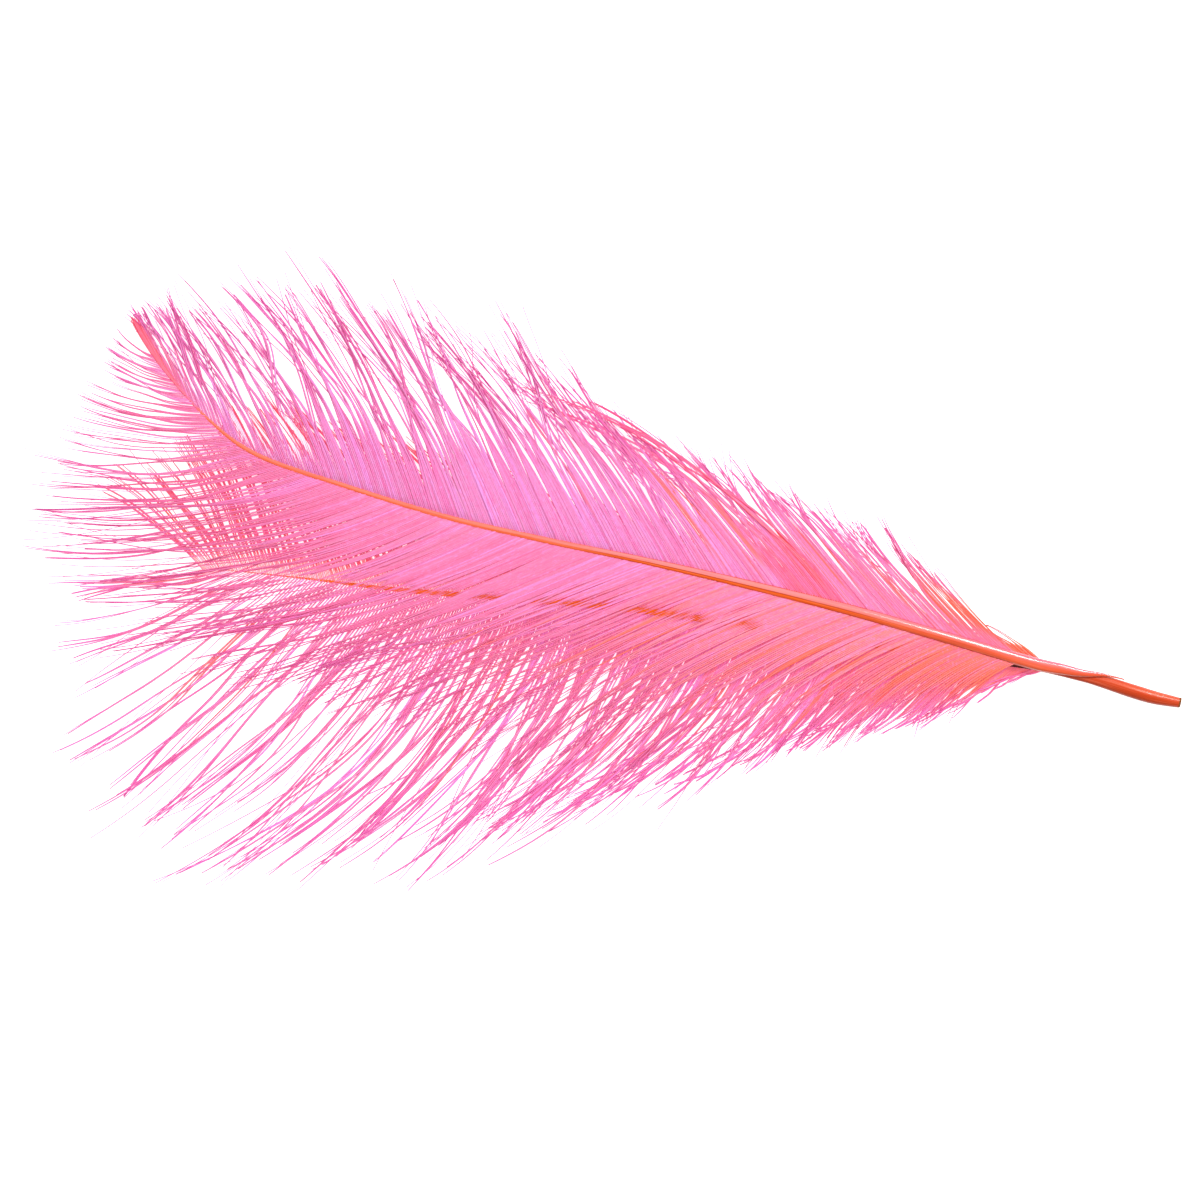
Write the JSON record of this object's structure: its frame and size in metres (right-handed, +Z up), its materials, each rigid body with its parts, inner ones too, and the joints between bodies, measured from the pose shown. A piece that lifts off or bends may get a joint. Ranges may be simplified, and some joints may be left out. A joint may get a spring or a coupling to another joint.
{
  "type": "ostrich plume",
  "caption": "Dyed ostrich plume lying flat, made of feathers laid one on the other and joined at the quill, with tapered shafts and drooping locks of loose barbs along both sides.",
  "frame": {"origin": "below the middle of the plume's box, on the surface that it lies on", "axes": "+X from the tip towards the quill's cut end, +Y towards the plume's upper edge, +Z up"},
  "size_m": [0.3386, 0.1824, 0.0103],
  "materials": {
    "upper_dyed_feather": "soft matte dyed barbs, satin orange-pink shaft",
    "under_dyed_feather": "soft matte dyed barbs, satin orange-pink shaft"
  },
  "bodies": {
    "root": {"upper_feather": "upper_dyed_feather", "under_feather": "under_dyed_feather"}
  },
  "joints": []
}
